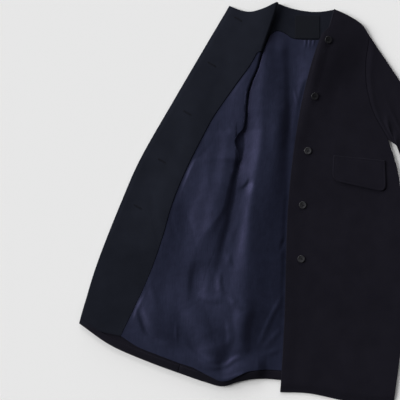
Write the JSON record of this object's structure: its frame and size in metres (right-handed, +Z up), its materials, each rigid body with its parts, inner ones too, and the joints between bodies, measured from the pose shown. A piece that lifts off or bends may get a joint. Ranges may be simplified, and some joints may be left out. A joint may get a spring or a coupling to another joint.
{
  "type": "cocoon coat",
  "caption": "Collarless knee-length wool cocoon coat lying flat, its right front turned back to show the wool facing and satin lining.",
  "frame": {"origin": "On the surface that the coat lies on, beneath the back and on its centre back line", "axes": "+Z up from the surface, +Y towards the neck, +X towards the wearer's left side"},
  "size_m": [1.0689, 1.0814, 0.0236],
  "materials": {
    "wool": "brushed navy wool, short nap, matt",
    "satin": "navy satin lining, soft sheen",
    "woven_label": "black woven label, bare",
    "button": "dark grey horn-like resin, half gloss"
  },
  "bodies": {
    "root": {"back": "wool", "back_lining": "satin", "back_neck_facing": "wool", "label": "woven_label", "front_right": "wool", "facing_right": "wool", "lining_front_right": "satin", "front_left": "wool", "pocket_flap_left": "wool", "sleeve_right": "wool", "sleeve_left": "wool", "button_1": "button", "button_2": "button", "button_3": "button", "button_4": "button", "button_5": "button"}
  },
  "joints": []
}
